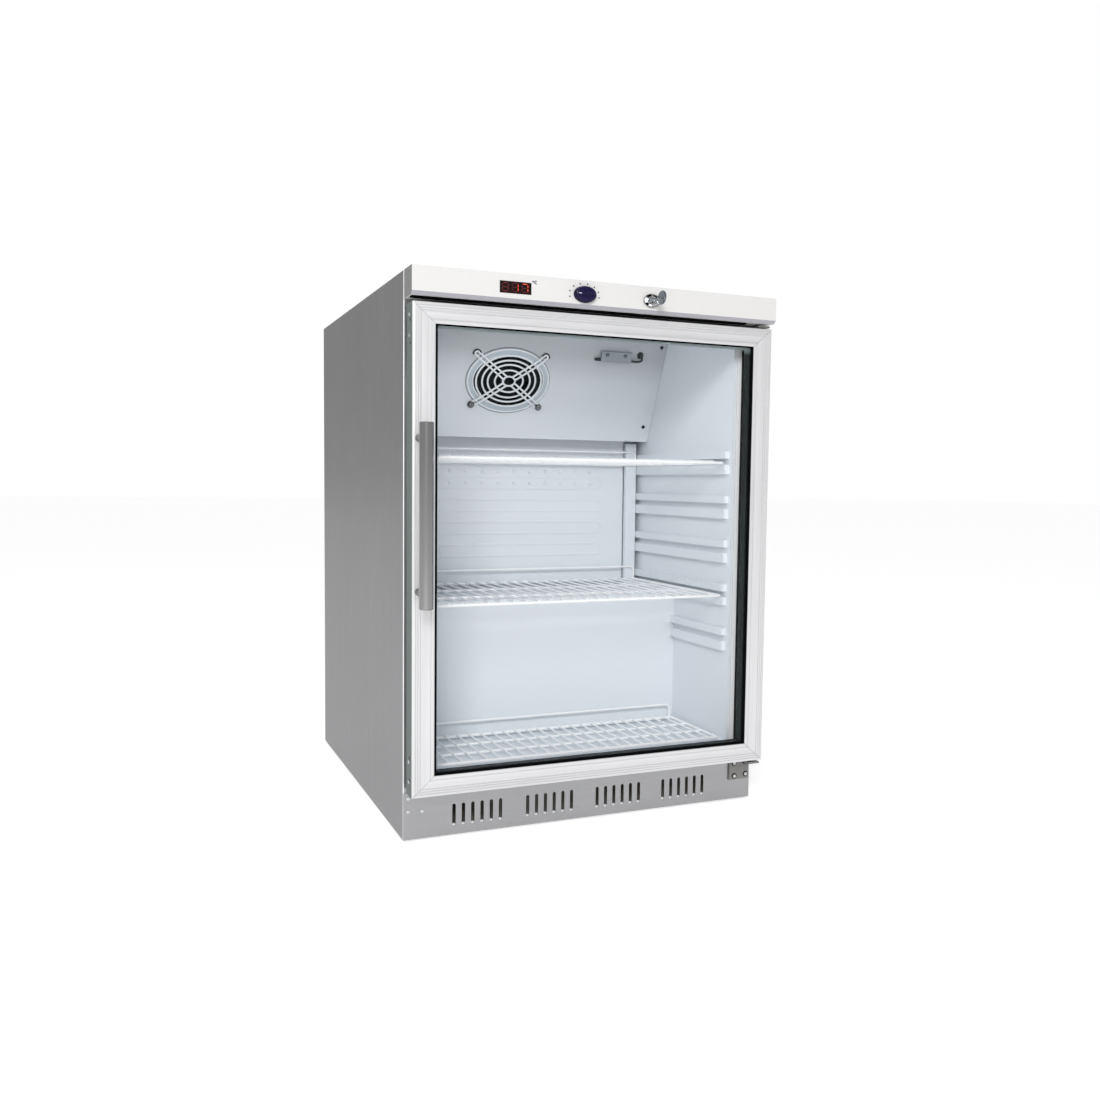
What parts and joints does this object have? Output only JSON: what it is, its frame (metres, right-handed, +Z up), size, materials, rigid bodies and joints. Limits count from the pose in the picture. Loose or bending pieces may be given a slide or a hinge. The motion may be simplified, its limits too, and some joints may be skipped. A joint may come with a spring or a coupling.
{
  "type": "undercounter refrigerator",
  "caption": "Undercounter refrigerator: steel cabinet with a hinged, framed glass door, bar handle, control fascia, wire shelves and a fan-cooled cavity.",
  "frame": {"origin": "bottom centre of the bounding box, on the floor under the feet", "axes": "+Z up, -Y towards a person facing the door, +X to that person's right"},
  "size_m": [0.608, 0.7232, 0.84],
  "materials": {
    "side_steel": "brushed, satin clear coat",
    "steel": "brushed sheet",
    "galvanised": "zinc coated sheet",
    "aluminium": "satin anodised extrusion",
    "white_sheet": "white lacquer",
    "white_plastic": "moulded",
    "liner": "vacuum formed",
    "foam": "rigid polyurethane foam",
    "black_rubber": "matte",
    "black_plastic": "moulded",
    "navy_plastic": "moulded",
    "display": "dark red window",
    "glass": "clear float glass",
    "chrome": "plated",
    "handle_steel": "fine ground",
    "coated_wire": "white plastic coating",
    "grey_plastic": "moulded",
    "black_enamel": "black enamel",
    "copper": "drawn copper tube",
    "nylon": "natural"
  },
  "bodies": {
    "cabinet": {"left_side_panel": "side_steel", "right_side_panel": "side_steel", "top_cover": "side_steel", "upper_front_rail": "steel", "lower_front_rail": "steel", "base_panel": "steel", "lower_hinge_bracket": "steel", "upper_hinge_bracket": "steel", "base_pan": "galvanised", "machine_compartment_wall": "galvanised", "back_panel": "galvanised", "thermostat_body": "galvanised", "evaporator_cover": "white_sheet", "evaporator_plate": "white_sheet", "control_fascia": "white_plastic", "drain_channel": "white_plastic", "inner_liner": "liner", "insulation": "foam", "cable_grommet": "black_rubber", "probe_cable": "black_rubber", "temperature_probe": "black_rubber", "evaporation_tray": "black_plastic", "fan_housing": "black_plastic", "power_inlet_box": "black_plastic", "display_module": "display", "lock_body": "chrome", "fan_guard": "chrome", "probe_clamp": "grey_plastic", "compressor": "black_enamel", "fan_motor": "black_enamel", "condenser": "black_enamel", "filter_drier": "copper", "discharge_line": "copper", "suction_line": "copper"},
    "door": {"door_frame_left": "aluminium", "door_frame_right": "aluminium", "door_frame_top": "aluminium", "door_frame_bottom": "aluminium", "glazing_seal": "black_rubber", "front_glass_pane": "glass", "glass_spacer": "black_plastic", "rear_glass_pane": "glass", "door_gasket": "black_rubber", "handle_bar": "handle_steel", "handle_post_lower": "handle_steel", "handle_post_upper": "handle_steel", "lower_hinge_bush": "nylon", "upper_hinge_bush": "nylon"},
    "knob": {"thermostat_knob": "navy_plastic"},
    "lock": {"lock_cylinder": "chrome", "lock_cam": "steel"},
    "key": {"key": "chrome"},
    "fan": {"fan_rotor": "black_plastic"},
    "shelf_top": {"shelf_top": "coated_wire"},
    "shelf_middle": {"shelf_middle": "coated_wire"},
    "shelf_bottom": {"shelf_bottom": "coated_wire"},
    "foot_front_left": {"foot_front_left": "black_plastic"},
    "foot_back_left": {"foot_back_left": "black_plastic"},
    "foot_front_right": {"foot_front_right": "black_plastic"},
    "foot_back_right": {"foot_back_right": "black_plastic"}
  },
  "joints": [
    {"name": "door_hinge", "type": "hinge", "parent": "cabinet", "child": "door", "pos_m": [0.29, -0.29637, 0.434], "axis": [0, 0, 1], "range_deg": [0, 110]},
    {"name": "knob_turn", "type": "hinge", "parent": "cabinet", "child": "knob", "pos_m": [-0.039, -0.31838, 0.8187], "axis": [0, 1, 0], "range_deg": [-14.5, 189.5]},
    {"name": "lock_turn", "type": "hinge", "parent": "cabinet", "child": "lock", "pos_m": [0.0746, -0.30838, 0.8182], "axis": [0, 1, 0], "range_deg": [0, 90]},
    {"name": "key_pull", "type": "slide", "parent": "lock", "child": "key", "axis": [0, -1, 0], "range_m": [0, 0.028]},
    {"name": "fan_spin", "type": "hinge", "parent": "cabinet", "child": "fan", "pos_m": [-0.0465, 0.00415, 0.72352], "axis": [0, -0.9239, -0.3827], "continuous": true},
    {"name": "shelf_top_slide", "type": "slide", "parent": "cabinet", "child": "shelf_top", "axis": [0, -1, 0], "range_m": [0, 0.01]},
    {"name": "shelf_middle_slide", "type": "slide", "parent": "cabinet", "child": "shelf_middle", "axis": [0, -1, 0], "range_m": [0, 0.01]},
    {"name": "shelf_bottom_slide", "type": "slide", "parent": "cabinet", "child": "shelf_bottom", "axis": [0, -1, 0], "range_m": [0, 0.01]},
    {"name": "foot_front_left_level", "type": "slide", "parent": "cabinet", "child": "foot_front_left", "axis": [0, 0, -1], "range_m": [0, 0.012]},
    {"name": "foot_front_right_level", "type": "slide", "parent": "cabinet", "child": "foot_front_right", "axis": [0, 0, -1], "range_m": [0, 0.012]},
    {"name": "foot_back_left_level", "type": "slide", "parent": "cabinet", "child": "foot_back_left", "axis": [0, 0, -1], "range_m": [0, 0.012]},
    {"name": "foot_back_right_level", "type": "slide", "parent": "cabinet", "child": "foot_back_right", "axis": [0, 0, -1], "range_m": [0, 0.012]}
  ]
}
